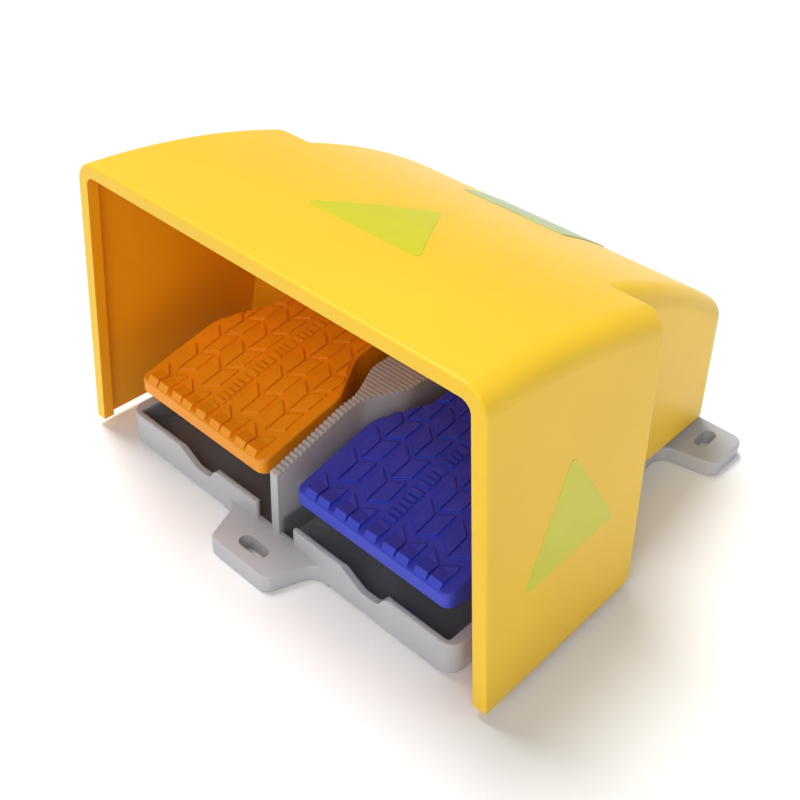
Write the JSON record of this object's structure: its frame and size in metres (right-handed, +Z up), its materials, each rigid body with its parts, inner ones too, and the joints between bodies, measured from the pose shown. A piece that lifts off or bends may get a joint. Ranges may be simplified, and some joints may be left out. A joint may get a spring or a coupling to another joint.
{
  "type": "foot switch",
  "caption": "Industrial foot switch: two hinged pedals with tyre-like treads on a ribbed cast base, under a guard hood, each working a snap-action switch.",
  "frame": {"origin": "on the floor face of the base, in the middle of the width, under the front edge of the hood", "axes": "+Z up, +Y from the mouth of the hood towards its back, +X to the right of the person who faces the pedals"},
  "size_m": [0.278, 0.2723, 0.1664],
  "materials": {
    "hood_yellow": "satin powder coat on a casting",
    "base_grey": "satin grey paint on a casting",
    "pedal_orange": "moulded, fine matt texture",
    "pedal_blue": "moulded, fine matt texture",
    "arm_metal": "as cast",
    "steel": "zinc plated",
    "bracket_steel": "plated sheet",
    "bush_plastic": "natural",
    "switch_black": "moulded phenolic",
    "plunger_red": "moulded",
    "terminal_brass": "plated",
    "spring_steel": "spring wire",
    "rubber_black": "matt",
    "gland_black": "moulded"
  },
  "bodies": {
    "base": {"base_casting": "base_grey", "hood": "hood_yellow", "hood_screws": "steel", "pivot_shaft": "steel", "shaft_clips": "steel", "pivot_spacers": "steel", "switch_screws": "steel", "switch_nuts": "steel", "bracket_screws": "steel", "terminal_screws": "terminal_brass", "stop_pads": "rubber_black", "rest_pads": "rubber_black", "gland_body": "gland_black", "gland_nut": "gland_black", "gland_seal": "rubber_black", "gland_locknut": "gland_black", "earth_screw": "terminal_brass", "switch_body_left": "switch_black", "switch_bracket_left": "bracket_steel", "return_spring_left": "spring_steel", "switch_body_right": "switch_black", "switch_bracket_right": "bracket_steel", "return_spring_right": "spring_steel"},
    "pedal_left": {"pedal_left": "pedal_orange", "pedal_arm_left": "arm_metal", "pedal_screws_left": "steel", "pivot_bushes_left": "bush_plastic", "adjuster_screw_left": "steel", "adjuster_nut_left": "steel"},
    "plunger_left": {"switch_plunger_left": "plunger_red"},
    "pedal_right": {"pedal_right": "pedal_blue", "pedal_arm_right": "arm_metal", "pedal_screws_right": "steel", "pivot_bushes_right": "bush_plastic", "adjuster_screw_right": "steel", "adjuster_nut_right": "steel"},
    "plunger_right": {"switch_plunger_right": "plunger_red"}
  },
  "joints": [
    {"name": "press_left", "type": "hinge", "parent": "base", "child": "pedal_left", "pos_m": [-0.0591, 0.138, 0.046], "axis": [1, 0, 0], "range_deg": [0, 7], "stiffness_Nm_per_rad": 8, "springref_deg": -8.59, "deforming": ["return_spring_left"]},
    {"name": "plunge_left", "type": "slide", "parent": "base", "child": "plunger_left", "axis": [0, 0, 1], "range_m": [0, 0.0032]},
    {"name": "press_right", "type": "hinge", "parent": "base", "child": "pedal_right", "pos_m": [0.0591, 0.138, 0.046], "axis": [1, 0, 0], "range_deg": [0, 7], "stiffness_Nm_per_rad": 8, "springref_deg": -8.59, "deforming": ["return_spring_right"]},
    {"name": "plunge_right", "type": "slide", "parent": "base", "child": "plunger_right", "axis": [0, 0, 1], "range_m": [0, 0.0032]}
  ],
  "couplings": [
    {"joint": "plunge_left", "follows": "press_left", "m_per_rad": 0.026},
    {"joint": "plunge_right", "follows": "press_right", "m_per_rad": 0.026}
  ]
}
